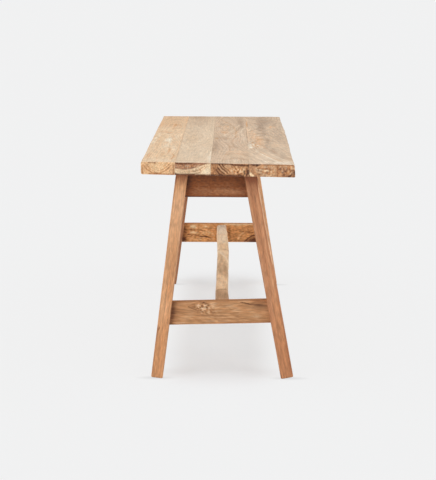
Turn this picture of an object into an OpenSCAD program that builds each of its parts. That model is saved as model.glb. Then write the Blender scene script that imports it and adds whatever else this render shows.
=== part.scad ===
// Patio bench: a seat of four joined planks, the front one with its natural edge, on two splayed
// trestles that a slim branch-like stretcher ties together.
// X runs along the seat, the natural edge faces -Y, Z is up. The origin is on the floor under the
// middle of the seat. The left trestle is at -X.

/* [Seat] */
// Length of the seat
seat_length = 1200; // [900:10:1600]
// Width of the seat where it is widest
seat_width = 325; // [300:1:400]
// Height of the seat above the floor
seat_height = 460; // [380:5:520]
// Thickness of the planks
seat_thickness = 26; // [22:1:36]
// Radius worn on the ends and on the back edge of the seat
seat_round = 2; // [1:0.5:6]
// Glue line between two planks
plank_gap = 0.3; // [0.2:0.1:1]
// Width of the back plank at the left end
back_width_left = 70; // [60:1:85]
// Width of the back plank at the right end
back_width_right = 71.5; // [60:0.5:85]
// Width of the second plank at the left end
second_width_left = 74; // [60:1:85]
// Width of the second plank at the right end
second_width_right = 74.5; // [60:0.5:85]
// Width of the third plank at the left end
third_width_left = 78.5; // [60:0.5:85]
// Width of the third plank at the right end
third_width_right = 82.5; // [60:0.5:88]

/* [Natural edge] */
// How far the natural edge draws in at the left end
edge_taper = 7.5; // [0:0.5:15]
// Swell of the natural edge near the middle
edge_swell = 2.5; // [0:0.5:8]
// Depth of the small waves along the natural edge
edge_ripple = 0.3; // [0:0.1:3]
// How far the underside of the natural edge draws in at the right end
edge_undercut = 4; // [0:0.5:12]

/* [Trestles] */
// Overhang of the seat past the end faces of the legs
leg_inset = 15; // [5:1:80]
// Thickness of the back legs
back_leg_thickness = 24.5; // [20:0.5:36]
// Thickness of the front legs
front_leg_thickness = 26.5; // [20:0.5:36]
// Depth of the legs along the seat
leg_depth = 80; // [60:1:120]
// Radius worn on the long edges of legs and rails
leg_round = 3; // [1:0.5:5]
// Flat that wear has left on the sole of each leg
sole_flat = 5; // [3:0.5:8]
// Distance from the seat's edges in to the centres of the left legs, under the seat
left_top_inset = 91.5; // [60:0.5:100]
// Distance from the seat's edges in to the centres of the right legs, under the seat
right_top_inset = 86.5; // [60:0.5:100]
// Distance from the seat's edges in to the centres of the left feet
left_foot_inset = 24.5; // [20:0.5:50]
// Distance from the seat's edges in to the centres of the right feet
right_foot_inset = 22.5; // [20:0.5:50]
// How far the top of the left trestle leans to the back
left_top_shift = 7.5; // [-10:0.5:12]
// How far the feet of the left trestle stand to the front
left_foot_shift = 6.5; // [-6:0.5:10]
// How far the top of the right trestle leans to the back
right_top_shift = 4; // [-10:0.5:12]
// How far the feet of the right trestle stand to the front
right_foot_shift = 3; // [-6:0.5:10]

/* [Rails] */
// Thickness of the aprons and the lower rails
rail_thickness = 25; // [20:1:40]
// Height of the aprons under the seat
apron_height = 51.5; // [40:0.5:80]
// Height of the left lower rail
left_rail_height = 48.5; // [40:0.5:80]
// Height of the right lower rail
right_rail_height = 51.5; // [40:0.5:80]
// Height of the top of the left lower rail above the floor
left_rail_top = 160.5; // [120:0.5:220]
// Height of the top of the right lower rail above the floor
right_rail_top = 166; // [120:0.5:220]
// Slope of the left lower rail, down to the back, in degrees
left_rail_slope = 1.5; // [0:0.1:2]

/* [Stretcher] */
// Width of the stretcher
stretcher_width = 28; // [18:0.5:34]
// Height of the stretcher
stretcher_height = 40; // [28:1:50]
// Step from the top of the lower rails down to the stretcher
stretcher_step = 2; // [1:0.5:6]
// Sideways wander of the branch
stretcher_wander = 2; // [0:0.1:6]
// Swelling and thinning of the branch
stretcher_swell = 0.6; // [0:0.1:3]
// How far the left end of the stretcher sits to the front
stretcher_left_shift = 7; // [-10:0.5:12]
// How far the right end of the stretcher sits to the front
stretcher_right_shift = 8.5; // [-10:0.5:12]
// How far the branch bends to the back towards its right end
stretcher_bend = 7.6; // [0:0.1:15]

/* [Joinery] */
// Clearance round each tenon and at each shoulder
fit_gap = 0.2; // [0.1:0.05:0.3]
// Length of the tenons on the rails
rail_tenon_length = 14; // [8:1:16]
// Thickness of the tenons on the rails
rail_tenon_thickness = 9; // [6:1:14]
// Shoulder above and below each rail tenon
rail_shoulder = 8; // [4:1:14]
// Height of the tenons on the leg tops
leg_tenon_height = 12; // [8:1:14]
// Thickness of the tenons on the leg tops
leg_tenon_thickness = 10; // [6:1:14]
// Shoulder at both ends of each leg tenon
leg_shoulder = 15; // [8:1:24]
// Length of the tenons on the stretcher
stretcher_tenon_length = 14; // [8:1:16]
// Thickness of the tenons on the stretcher
stretcher_tenon_thickness = 12; // [8:1:14]
// Shoulder above and below each stretcher tenon
stretcher_shoulder = 8; // [5:1:10]
// Diameter of the dowels between the planks
dowel_diameter = 8; // [6:1:10]
// Length of the dowels between the planks
dowel_length = 36; // [24:1:44]
// Dowels in each joint between two planks
dowel_count = 5; // [3:1:7]
// Distance from the end of the seat to the first dowel
dowel_margin = 165; // [160:5:250]

/* [Batten and screws] */
// Width of the batten under the middle of the seat
batten_width = 50; // [35:1:80]
// Thickness of the batten
batten_thickness = 18; // [14:1:25]
// Distance from the seat's edges to the ends of the batten
batten_margin = 22; // [16:1:40]
// Bevel on the batten's ends
batten_bevel = 8; // [2:1:12]
// Diameter of the screw shanks
screw_diameter = 4; // [3:0.5:5]
// Diameter of the screw heads
screw_head = 8; // [7:0.5:9]
// Height of the countersunk screw heads
screw_head_height = 3; // [2:0.5:4]
// How far the screws reach into the planks
screw_bite = 14; // [10:1:18]
// Depth of the screw pockets in the aprons
pocket_depth = 20; // [10:1:28]
// Clearance round the screws
screw_gap = 0.1; // [0.05:0.05:0.3]

/* [Hidden] */

// Margin by which cutting shapes pass the faces that they cut
pass = 1;
// Steps along the natural edge and along the stretcher
edge_steps = 40;
branch_steps = 36;
// Points round the stretcher
branch_points = 14;
arc_detail = 32;

left = -1;
right = 1;
back = 1;
front = -1;

seat_under = seat_height - seat_thickness;
seat_half = seat_width / 2;
trestle_x = seat_length / 2 - leg_inset - leg_depth / 2;

teak = "#c9a27c";
teak_grey = "#cdb79c";
teak_brown = "#a9744c";
teak_dark = "#6c3f25";
steel = "#9a9a98";

function mix(a, b, s) = a + (b - a) * s;
function share(x) = x / seat_length + 0.5;

// Joint 0 is the back edge of the seat, joint 3 borders on the plank with the natural edge
function plank_joint(number, x) =
    let(at_left = [0, back_width_left, second_width_left, third_width_left],
        at_right = [0, back_width_right, second_width_right, third_width_right])
    seat_half - mix(sum_to(at_left, number), sum_to(at_right, number), share(x));
function sum_to(list, last, i = 0) = i > last ? 0 : list[i] + sum_to(list, last, i + 1);

// Reach of the natural edge to the front, before it is set to the width of the seat
function edge_shape(s) = edge_taper * s + edge_swell * pow(sin(180 * pow(s, 1.15)), 2)
    + edge_ripple * (sin(1130 * s + 40) + 0.6 * sin(2270 * s) + 0.4 * sin(3890 * s + 75));
edge_reach = max([for (i = [0:edge_steps]) edge_shape(i / edge_steps)]);
function edge_y(s) = -seat_half + edge_reach - edge_shape(s);

// A trestle's legs: centres under the seat and on the floor
function top_y(end, side) = end == left
    ? left_top_shift + side * (seat_half - left_top_inset)
    : right_top_shift + side * (seat_half - right_top_inset);
function foot_y(end, side) = end == left
    ? side * (seat_half - left_foot_inset) - left_foot_shift
    : side * (seat_half - right_foot_inset) - right_foot_shift;
function leg_thickness(side) = side == back ? back_leg_thickness : front_leg_thickness;
function leg_lean(end, side) = atan2(foot_y(end, side) - top_y(end, side), seat_under);
function leg_y(end, side, z) = mix(foot_y(end, side), top_y(end, side), z / seat_under);
// Face of a leg towards the other leg of its trestle
function inner_y(end, side, z) =
    leg_y(end, side, z) - side * leg_thickness(side) / 2 / cos(leg_lean(end, side));

// Lower rails, and the stretcher between them
function rail_top(end) = end == left ? left_rail_top : right_rail_top;
function rail_height(end) = end == left ? left_rail_height : right_rail_height;
function rail_bottom(end) = rail_top(end) - rail_height(end);
function rail_slope(end) = end == left ? left_rail_slope : 0;
stretcher_end = trestle_x - rail_thickness / 2 - fit_gap;
function stretcher_z(end) = rail_top(end) - stretcher_step - stretcher_height / 2;
function branch_y(s) = mix(-stretcher_left_shift, -stretcher_right_shift, s)
    + stretcher_wander * (sin(180 * sqrt(s)) + 0.2 * sin(180 * s) * sin(1050 * s))
    + stretcher_bend * pow(max(0, s / 0.38 - 1.63), 1.3);
function branch_half(s) = stretcher_width / 2
    + stretcher_swell * (0.7 * sin(560 * s + 60) + 0.4 * sin(1390 * s + 10) - 0.2);
function rounded(value) = sign(value) * pow(abs(value), 0.45);

// Screws
apron_screw_length = apron_height - pocket_depth + screw_bite;
batten_screw_length = batten_thickness + screw_bite;
function apron_screw_y(end, number) = let(x = end * trestle_x)
    (min(plank_joint(number, x), inner_y(end, back, seat_under))
     + max(plank_joint(number + 1, x), inner_y(end, front, seat_under))) / 2;
function batten_screw_y(number) =
    (min(plank_joint(number, 0), seat_half - batten_margin)
     + (number < 3 ? plank_joint(number + 1, 0) : -seat_half + batten_margin)) / 2;

module rounded_rectangle(size, radius) {
    square([size[0], size[1] - 2 * radius], center = true);
    square([size[0] - 2 * radius, size[1]], center = true);
    for (x = [-1, 1], y = [-1, 1])
        translate([x * (size[0] / 2 - radius), y * (size[1] / 2 - radius)])
            circle(r = radius, $fn = arc_detail);
}

// Outline in Y and Z, as thick along X as asked
module upright_outline(points, thickness) {
    translate([-thickness / 2, 0, 0])
        rotate([90, 0, 90])
            linear_extrude(thickness) polygon(points);
}

module box(size) {
    cube(size, center = true);
}

// Closed solid through rings that have as many points each
module loft(rings) {
    count = len(rings[0]);
    last = len(rings) - 1;
    sides = [for (i = [0:last - 1], j = [0:count - 1])
        let(a = i * count + j, b = i * count + (j + 1) % count)
        each [[a, b + count, b], [a, a + count, b + count]]];
    first_end = [[for (j = [0:count - 1]) j]];
    last_end = [[for (j = [count - 1:-1:0]) last * count + j]];
    polyhedron([for (ring = rings) each ring], concat(sides, first_end, last_end));
}

// Seat planks

module seat_ends() {
    translate([0, 0, seat_height - seat_thickness / 2])
        rotate([90, 0, 0])
            linear_extrude(seat_width + 2 * pass, center = true)
                rounded_rectangle([seat_length, seat_thickness], seat_round);
}

module seat_back() {
    translate([0, 0, seat_height - seat_thickness / 2])
        rotate([90, 0, 90])
            linear_extrude(seat_length + 2 * pass, center = true)
                rounded_rectangle([seat_width, seat_thickness], seat_round);
}

module plank_strip(number) {
    reach = seat_length / 2 + pass;
    rear_gap = number == 0 ? -pass : plank_gap / 2;
    translate([0, 0, seat_under - pass])
        linear_extrude(seat_thickness + 2 * pass)
            polygon([
                [-reach, plank_joint(number, -reach) - rear_gap],
                [-reach, plank_joint(number + 1, -reach) + plank_gap / 2],
                [reach, plank_joint(number + 1, reach) + plank_gap / 2],
                [reach, plank_joint(number, reach) - rear_gap]]);
}

module straight_plank(number) {
    difference() {
        intersection() {
            plank_strip(number);
            seat_ends();
            if (number == 0) seat_back();
        }
        plank_joinery();
    }
}

module natural_edge_shape() {
    loft([for (i = [0:edge_steps])
        let(s = i / edge_steps,
            x = mix(-seat_length / 2, seat_length / 2, s),
            joint = plank_joint(3, x) - plank_gap / 2,
            edge = edge_y(s),
            under = edge_undercut * (1.4 * s - 0.4 + 0.2 * sin(1480 * s)))
        [[x, joint, seat_under], [x, joint, seat_height],
         [x, edge + 3.5, seat_height], [x, edge + 0.9, seat_height - 1.2],
         [x, edge, seat_height - 4], [x, edge + 0.2 * under, seat_height - seat_thickness * 0.5],
         [x, edge + 0.55 * under, seat_under + 5], [x, edge + under, seat_under + 1.4],
         [x, edge + under + 3, seat_under]]]);
}

module natural_edge_plank() {
    color(teak_grey)
        difference() {
            intersection() {
                natural_edge_shape();
                seat_ends();
            }
            plank_joinery();
        }
}

// Sockets, holes and pilot holes in the planks
module plank_joinery() {
    for (number = [1:3]) dowels(number, dowel_diameter / 2 + fit_gap / 2, dowel_length + 2);
    for (end = [left, right], side = [back, front]) leg_tenon(end, side, fit_gap);
    for (end = [left, right], number = [1, 2])
        translate([end * trestle_x, apron_screw_y(end, number), seat_under - pass])
            cylinder(r = screw_diameter / 2 + screw_gap, h = screw_bite + 2 * pass, $fn = arc_detail);
    for (number = [0:3])
        translate([batten_screw_x(number), batten_screw_y(number), seat_under - pass])
            cylinder(r = screw_diameter / 2 + screw_gap, h = screw_bite + 2 * pass, $fn = arc_detail);
}

function batten_screw_x(number) = (number % 2 - 0.5) * batten_width * 0.4;

module dowels(joint, radius, length) {
    reach = seat_length / 2 - dowel_margin;
    for (i = [0:dowel_count - 1])
        let(x = mix(-reach, reach, i / (dowel_count - 1)))
            translate([x, plank_joint(joint, x), seat_under + seat_thickness / 2])
                rotate([90, 0, 0])
                    cylinder(r = radius, h = length, center = true, $fn = arc_detail);
}

module back_plank() {
    color(teak) straight_plank(0);
}

module second_plank() {
    color(teak_grey) straight_plank(1);
}

module third_plank() {
    color(teak_grey) straight_plank(2);
}

module plank_dowels() {
    color(teak)
        for (joint = [1:3]) dowels(joint, dowel_diameter / 2, dowel_length);
}

// Legs

module leg_tenon(end, side, gap) {
    length = leg_depth - 2 * leg_shoulder + 2 * gap;
    translate([end * trestle_x, top_y(end, side), seat_under + (leg_tenon_height + gap) / 2])
        box([length, leg_tenon_thickness + 2 * gap, leg_tenon_height + gap]);
}

// The board starts below the floor, so that the floor leaves the sole its worn flat
module leg_board(end, side) {
    lean = leg_lean(end, side);
    tilt = abs(lean);
    thickness = leg_thickness(side);
    start = (thickness / 2 * sin(tilt) - sole_flat * sin(tilt) * cos(tilt)) / cos(tilt);
    intersection() {
        translate([end * trestle_x, foot_y(end, side), 0])
            rotate([lean, 0, 0])
                translate([0, 0, start])
                    linear_extrude(seat_height / cos(tilt))
                        rounded_rectangle([leg_depth, thickness], leg_round);
        translate([end * trestle_x, 0, seat_under / 2])
            box([leg_depth + 2 * pass, 2 * seat_width, seat_under]);
    }
}

module leg(end, side) {
    color(teak_brown)
        difference() {
            union() {
                leg_board(end, side);
                leg_tenon(end, side, 0);
            }
            rail_tenons(end, seat_under - apron_height, apron_height, fit_gap);
            rail_tenons(end, rail_bottom(end), rail_height(end), fit_gap);
        }
}

// Rails between the legs of a trestle

// Both tenons of a rail in one bar, level and square to the legs' broad faces
module rail_tenons(end, bottom, height, gap) {
    middle = bottom + height / 2;
    rear = inner_y(end, back, middle) + rail_tenon_length + gap;
    fore = inner_y(end, front, middle) - rail_tenon_length - gap;
    translate([end * trestle_x, (rear + fore) / 2, middle])
        box([rail_tenon_thickness + 2 * gap, rear - fore, height - 2 * rail_shoulder + 2 * gap]);
}

// The slope is about the middle of the rail. Both ends fit the legs
module rail_board(end, bottom, height, slope) {
    low = bottom - height / 4;
    high = bottom + height * 5 / 4;
    intersection() {
        translate([end * trestle_x, 0, 0])
            upright_outline([
                [inner_y(end, back, low) - fit_gap, low],
                [inner_y(end, back, high) - fit_gap, high],
                [inner_y(end, front, high) + fit_gap, high],
                [inner_y(end, front, low) + fit_gap, low]], rail_thickness + 2 * pass);
        translate([end * trestle_x, 0, bottom + height / 2])
            rotate([90 - slope, 0, 0])
                linear_extrude(2 * seat_width, center = true)
                    rounded_rectangle([rail_thickness, height], leg_round);
    }
}

module apron(end) {
    bottom = seat_under - apron_height;
    color(teak_dark)
        difference() {
            union() {
                rail_board(end, bottom, apron_height, 0);
                rail_tenons(end, bottom, apron_height, 0);
            }
            for (number = [1, 2])
                translate([end * trestle_x, apron_screw_y(end, number), bottom - pass])
                    screw_hole(pocket_depth, apron_height);
        }
}

module lower_rail(end) {
    color(teak_brown)
        difference() {
            union() {
                rail_board(end, rail_bottom(end), rail_height(end), rail_slope(end));
                rail_tenons(end, rail_bottom(end), rail_height(end), 0);
            }
            stretcher_tenon(end, fit_gap);
        }
}

// Stretcher

module stretcher_tenon(end, gap) {
    shift = end == left ? stretcher_left_shift : stretcher_right_shift;
    length = stretcher_tenon_length + gap + pass;
    translate([end * (stretcher_end - pass + length / 2), -shift, stretcher_z(end)])
        box([length, stretcher_tenon_thickness + 2 * gap,
             stretcher_height - 2 * stretcher_shoulder + 2 * gap]);
}

module branch() {
    loft([for (i = [0:branch_steps])
        let(s = i / branch_steps, x = mix(-stretcher_end, stretcher_end, s),
            z = mix(stretcher_z(left), stretcher_z(right), s))
        [for (j = [0:branch_points - 1])
            let(a = 360 * (j + 0.5) / branch_points)
            [x, branch_y(s) + branch_half(s) * rounded(cos(a)),
             z + stretcher_height / 2 * rounded(sin(a)) / rounded(1)]]]);
}

module stretcher() {
    color(teak_grey) {
        branch();
        for (end = [left, right]) stretcher_tenon(end, 0);
    }
}

// Batten and screws

module batten() {
    reach = seat_half - batten_margin;
    low = seat_under - batten_thickness;
    color(teak)
        difference() {
            upright_outline([
                [-reach, seat_under], [-reach, seat_under - batten_thickness + batten_bevel],
                [-reach + batten_bevel, low], [reach - batten_bevel, low],
                [reach, seat_under - batten_thickness + batten_bevel], [reach, seat_under]],
                batten_width);
            for (number = [0:3])
                translate([batten_screw_x(number), batten_screw_y(number), low - pass])
                    screw_hole(screw_gap, batten_thickness);
        }
}

// Countersunk hole whose mouth is one pass below the face, with the head sunk as deep as asked
module screw_hole(sunk, depth) {
    cylinder(r = screw_diameter / 2 + screw_gap, h = depth + 2 * pass, $fn = arc_detail);
    cylinder(r = screw_head / 2 + screw_gap, h = pass + sunk, $fn = arc_detail);
    translate([0, 0, pass + sunk])
        cylinder(r1 = screw_head / 2 + screw_gap, r2 = screw_diameter / 2 + screw_gap,
                 h = screw_head_height, $fn = arc_detail);
}

// Head down, at the origin
module screw(length) {
    rotate_extrude($fn = arc_detail)
        polygon([[0, 0], [screw_head / 2, 0], [screw_diameter / 2, screw_head_height],
                 [screw_diameter / 2, length - screw_diameter], [0, length]]);
}

module apron_screws() {
    color(steel)
        for (end = [left, right], number = [1, 2])
            translate([end * trestle_x, apron_screw_y(end, number),
                       seat_under - apron_height + pocket_depth])
                screw(apron_screw_length);
}

module batten_screws() {
    color(steel)
        for (number = [0:3])
            translate([batten_screw_x(number), batten_screw_y(number),
                       seat_under - batten_thickness + screw_gap])
                screw(batten_screw_length);
}

back_plank();
second_plank();
third_plank();
natural_edge_plank();
leg(left, back);  // left_back_leg
leg(left, front);  // left_front_leg
leg(right, back);  // right_back_leg
leg(right, front);  // right_front_leg
apron(left);  // left_apron
apron(right);  // right_apron
lower_rail(left);  // left_rail
lower_rail(right);  // right_rail
stretcher();
batten();
plank_dowels();
apron_screws();
batten_screws();
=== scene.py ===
import math

import bpy
import numpy as np
from mathutils import Matrix, Vector, noise
from mathutils.kdtree import KDTree


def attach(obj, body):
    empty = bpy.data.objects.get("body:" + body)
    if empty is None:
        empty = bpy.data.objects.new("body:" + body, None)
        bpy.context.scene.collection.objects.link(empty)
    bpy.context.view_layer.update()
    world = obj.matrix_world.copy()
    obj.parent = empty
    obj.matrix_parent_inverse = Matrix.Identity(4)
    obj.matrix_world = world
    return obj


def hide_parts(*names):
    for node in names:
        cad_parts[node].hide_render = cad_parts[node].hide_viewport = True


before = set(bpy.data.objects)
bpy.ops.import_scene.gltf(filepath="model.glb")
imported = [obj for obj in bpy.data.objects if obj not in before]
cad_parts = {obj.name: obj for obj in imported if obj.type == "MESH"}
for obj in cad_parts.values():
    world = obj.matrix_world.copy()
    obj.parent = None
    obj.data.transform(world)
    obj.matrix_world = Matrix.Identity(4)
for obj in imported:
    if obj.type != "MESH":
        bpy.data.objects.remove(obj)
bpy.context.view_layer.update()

# Lengths are in millimetres up to the point where a mesh is written, which is in metres.
# X runs along the seat, Y to the back, Z up. Every board has its own three directions:
# u along the grain, v across it and w through the board.
perMetre = 1000
boardLayers = ("grain", "tone", "wear")
boardSurface = {
    "wearLength": 37,               # mm between places where the arrises are worn more and less
    "wear": 0.45,
    "leastRound": 0.2,
    "endDepth": 1.6,                # how far the look of end grain reaches round the ends
    "ragged": ((9, 6, 60), 0.3),    # size and amount of the noise round knots
    "waver": ((21, 5, 5), 0.5),     # the same for the edges of marks
    "curl": 2.2,
    "leastCurl": 0.02,
    "knotStretch": 0.25,            # how much of a knot's stretch its heart takes
    "checkPower": 0.8,
    "checkDirt": 1.6,
    "unevenShares": (0.6, 1, 1),
    "unevenSizes": ((40, 16, 16), (110, 26, 18), (90, 24, 30)),
}


def linearColour(hexValue):
    parts = [int(hexValue[i:i + 2], 16) / 255 for i in (1, 3, 5)]
    return [c / 12.92 if c <= 0.04045 else ((c + 0.055) / 1.055) ** 2.4 for c in parts] + [1.0]


def put(tree, kind, inputs=None, **options):
    node = tree.nodes.new("ShaderNode" + kind)
    for key, value in options.items():
        if key == "stops":
            while len(node.color_ramp.elements) < len(value):
                node.color_ramp.elements.new(0.5)
            for element, (position, level) in zip(node.color_ramp.elements, value):
                element.position = position
                element.color = (level, level, level, 1)
        else:
            setattr(node, key, value)
    for key, value in (inputs or {}).items():
        if isinstance(value, bpy.types.NodeSocket):
            tree.links.new(value, node.inputs[key])
        else:
            node.inputs[key].default_value = value
    return node


def maths(tree, operation, *values, clamp=False):
    return put(tree, "Math", dict(enumerate(values)), operation=operation, use_clamp=clamp).outputs[0]


def vectorMaths(tree, operation, *values):
    node = put(tree, "VectorMath", dict(enumerate(values)), operation=operation)
    return node.outputs["Value" if operation == "LENGTH" else "Vector"]


# From one range to another: value, from low, from high, to low, to high
def ranged(tree, *values, **options):
    inputs = dict(zip(("Value", "From Min", "From Max", "To Min", "To Max"), values))
    return put(tree, "MapRange", inputs, **options).outputs[0]


def mixed(tree, share, first, second):
    return put(tree, "Mix", {0: share, 6: first, 7: second}, data_type="RGBA").outputs[2]


# Noise with its own size in mm each way
def patternOf(tree, place, sizes, detail, **more):
    stretched = vectorMaths(tree, "MULTIPLY", place, [perMetre / size for size in sizes])
    return put(tree, "TexNoise", {"Vector": stretched, "Scale": 1, "Detail": detail, **more})


def newMaterial(name):
    material = bpy.data.materials.new(name)
    material.use_nodes = True
    material.node_tree.nodes.clear()
    return material, material.node_tree


def coat(tree, inputs):
    shader = put(tree, "BsdfPrincipled", inputs).outputs[0]
    put(tree, "OutputMaterial", {"Surface": shader})


def newObject(name, data):
    made = bpy.data.objects.new(name, data)
    bpy.context.scene.collection.objects.link(made)
    return made


def softNoise(points, lengths, seed):
    a, b, c = lengths
    return np.array([noise.noise((u / a + seed, v / b + 0.7 * seed, w / c)) for u, v, w in points])


def blend(a, b, share):
    return a + (b - a) * share


# Waves along a board, each with its size, its start and its run in degrees
def waves(share, terms):
    return sum(size * np.sin(np.radians(run * share + start)) for size, start, run in terms)


# Places of the rings along a board: they start fine at each end and grow to the full step
def stationsAlong(low, high, endRound, fine, step, bend=3, growth=1.3, most=0.3):
    turn = np.radians(90 * np.arange(bend, -1, -1) / bend)
    offsets = list(endRound * (1 - np.sin(turn)))
    drawnIn = list(endRound * (1 - np.cos(turn)))
    gap = fine
    while gap < step and offsets[-1] < (high - low) * most:
        offsets.append(offsets[-1] + gap)
        gap *= growth
    offsets = np.array(offsets)
    count = max(2, int((high - low - 2 * offsets[-1]) / step))
    middle = np.linspace(low + offsets[-1], high - offsets[-1], count + 1)[1:-1]
    drawnIn = np.array(drawnIn + [0.0] * (len(offsets) - len(drawnIn)))
    u = np.concatenate([low + offsets, middle, (high - offsets)[::-1]])
    inset = np.concatenate([drawnIn, np.zeros(len(middle)), drawnIn[::-1]])
    return u, inset


def sideSteps(low, high, roundLow, roundHigh, count, bend=3):
    turn = np.radians(45 + 45 * np.arange(bend + 1) / bend)
    along = 1 - np.cos(turn)
    sink = 1 - np.sin(turn)
    share = np.arange(1, count - 2 * bend) / (count - 2 * bend)
    first = low[:, None] + roundLow[:, None] * along
    last = (high[:, None] - roundHigh[:, None] * along)[:, ::-1]
    start = (low + roundLow)[:, None]
    between = start + ((high - roundHigh)[:, None] - start) * share
    place = np.hstack([first, between, last])
    sunk = np.hstack([roundLow[:, None] * sink, 0 * between, (roundHigh[:, None] * sink)[:, ::-1]])
    return place, sunk


# A board as rings of points round its section, with both ends closed by a grid, so that wear, knots
# and checks can be worked into every face
def boardPoints(shape):
    u, inset = stationsAlong(*shape["reach"], shape["endRound"], shape["fine"], shape["step"])
    v0, v1, w0, w1 = [np.broadcast_to(np.asarray(side, float), u.shape) for side in shape["sides"](u)]
    keepV0, keepV1, keepW = shape.get("endShares", (1, 1, 1))
    columns, rows = shape["columns"], shape["rows"]
    corner = []
    for k, radius in enumerate(shape["rounds"]):
        worn = [noise.noise((x / boardSurface["wearLength"] + 9 * k, shape["seed"], 0.3)) for x in u]
        worn = radius * (1 + boardSurface["wear"] * np.array(worn))
        corner.append(np.maximum(worn - inset, boardSurface["leastRound"]))
    a0, a1 = v0 + inset * keepV0, v1 - inset * keepV1
    b0, b1 = w0 + inset * keepW, w1 - inset * keepW
    lowPlace, lowSunk = sideSteps(a0, a1, corner[0], corner[1], columns)
    highPlace, highSunk = sideSteps(a0, a1, corner[3], corner[2], columns)
    nearPlace, nearSunk = sideSteps(b0, b1, corner[0], corner[3], rows)
    farPlace, farSunk = sideSteps(b0, b1, corner[1], corner[2], rows)
    low = np.stack([lowPlace, b0[:, None] + lowSunk], -1)
    high = np.stack([highPlace, b1[:, None] - highSunk], -1)
    near = np.stack([a0[:, None] + nearSunk, nearPlace], -1)
    far = np.stack([a1[:, None] - farSunk, farPlace], -1)
    ring = np.concatenate([low, far[:, 1:], high[:, -2::-1], near[:, -2:0:-1]], 1)
    count, around = ring.shape[:2]
    points = [np.concatenate([np.repeat(u, around)[:, None], ring.reshape(-1, 2)], 1)]
    station = [np.repeat(np.arange(count), around)]
    j = np.arange(around)
    k = (j + 1) % around
    s = np.arange(count - 1)[:, None] * around
    quads = [np.stack([s + j, s + k, s + k + around, s + j + around], -1).reshape(-1, 4)]
    made = count * around
    for end in (0, count - 1):
        bottom, top, left, right = low[end], high[end], near[end], far[end]
        a = ((bottom[:, 0] - bottom[0, 0]) / (bottom[-1, 0] - bottom[0, 0]))[1:-1, None, None]
        b = ((left[:, 1] - left[0, 1]) / (left[-1, 1] - left[0, 1]))[None, 1:-1, None]
        upright = (1 - b) * bottom[1:-1, None] + b * top[1:-1, None]
        level = (1 - a) * left[None, 1:-1] + a * right[None, 1:-1]
        corners = ((1 - a) * (1 - b) * bottom[0] + a * (1 - b) * bottom[-1]
                   + (1 - a) * b * top[0] + a * b * top[-1])
        flat = (upright + level - corners).reshape(-1, 2)
        number = np.zeros((columns + 1, rows + 1), int)
        number[:, 0] = np.arange(columns + 1)
        number[-1, 1:] = columns + np.arange(1, rows + 1)
        number[-2::-1, -1] = columns + rows + np.arange(1, columns + 1)
        number[0, -2:0:-1] = 2 * columns + rows + np.arange(1, rows)
        number += end * around
        number[1:-1, 1:-1] = made + np.arange(len(flat)).reshape(columns - 1, rows - 1)
        made += len(flat)
        points.append(np.concatenate([np.full((len(flat), 1), u[end]), flat], 1))
        station.append(np.full(len(flat), end))
        cells = [number[:-1, :-1], number[1:, :-1], number[1:, 1:], number[:-1, 1:]]
        if end == 0:
            cells.reverse()
        quads.append(np.stack(cells, -1).reshape(-1, 4))
    points = np.concatenate(points)
    station = np.concatenate(station)
    toEnd = np.minimum(points[:, 0] - u[0], u[-1] - points[:, 0])
    toV = np.minimum(points[:, 1] - v0[station], v1[station] - points[:, 1])
    toW = np.minimum(points[:, 2] - w0[station], w1[station] - points[:, 2])
    # How close a point is to an arris, and how much of it is end grain
    depths = np.sort(np.stack([toEnd, toV, toW]), 0)
    arris = np.exp(-np.maximum(depths[1], 0) / shape.get("wornReach", 1.8))
    endGrain = np.clip(1.25 - toEnd / boardSurface["endDepth"], 0, 1)
    return points, np.concatenate(quads), arris, endGrain


# Distance from each point to a bent line
def distanceTo(points, line):
    best = np.full(len(points), 1e9)
    for a, b in zip(line[:-1], line[1:]):
        a, b = np.array(a, float), np.array(b, float)
        run = np.clip(((points - a) @ (b - a)) / ((b - a) @ (b - a)), 0, 1)
        best = np.minimum(best, np.linalg.norm(points - a - run[:, None] * (b - a), axis=1))
    return best


# The pith wanders along the board. Where it comes near a face, the saw left closed loops there
def pithAt(u, path):
    spots = np.array(path, float).T
    steps = (-60, -20, 20, 60)
    return [np.mean([np.interp(u + step, spots[0], row) for step in steps], 0) for row in spots[1:]]


# The lie of the grain at every point: how far along, and how far from the pith. A knot pushes the
# growth rings aside
def grainOf(points, look, seed):
    u, v, w = points.T.copy()
    mass = np.zeros(len(u))
    size, amount = boardSurface["ragged"]
    for ku, kv, radius, stretch in look.get("knots", []):
        ragged = 1 + amount * softNoise(points, size, seed)
        du, dv = (u - ku) / stretch, v - kv
        d2 = np.maximum(du ** 2 + dv ** 2, radius ** 2)
        v = kv + dv * (1 - (radius ** 2 / d2))
        longer = 1 + boardSurface["knotStretch"] * (stretch - 1)
        core = np.sqrt(((points[:, 0] - ku) / longer) ** 2 + (points[:, 1] - kv) ** 2)
        mass = np.maximum(mass, np.clip(1 - core * ragged / radius, 0, 1))
    pithV, pithW = pithAt(u, look["pith"])
    return np.stack([u, v - pithV, w - pithW], 1), mass


# Marks lie on a named face, which has an axis, a place on it and a depth for its marks. A mark gives
# two numbers where the face knows the third, and three where it lies elsewhere
def marksOf(look, shape, kind):
    return [(mark, face) for name, face in shape["faces"].items() for mark in look.get(name + kind, [])]


def onFace(spot, axis, value):
    return np.array(spot, float) if len(spot) == 3 else np.insert(np.array(spot, float), axis, value)


# Share of a soft patch at each point, from its place and its reach
def spreadOf(points, numbers, face, waver):
    axis, place, depth = face
    half = len(numbers) // 2
    at, reach = onFace(numbers[:half], axis, place), onFace(numbers[half:], axis, depth)
    return np.exp(-(((points - at) / reach) ** 2).sum(1) * waver)


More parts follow.
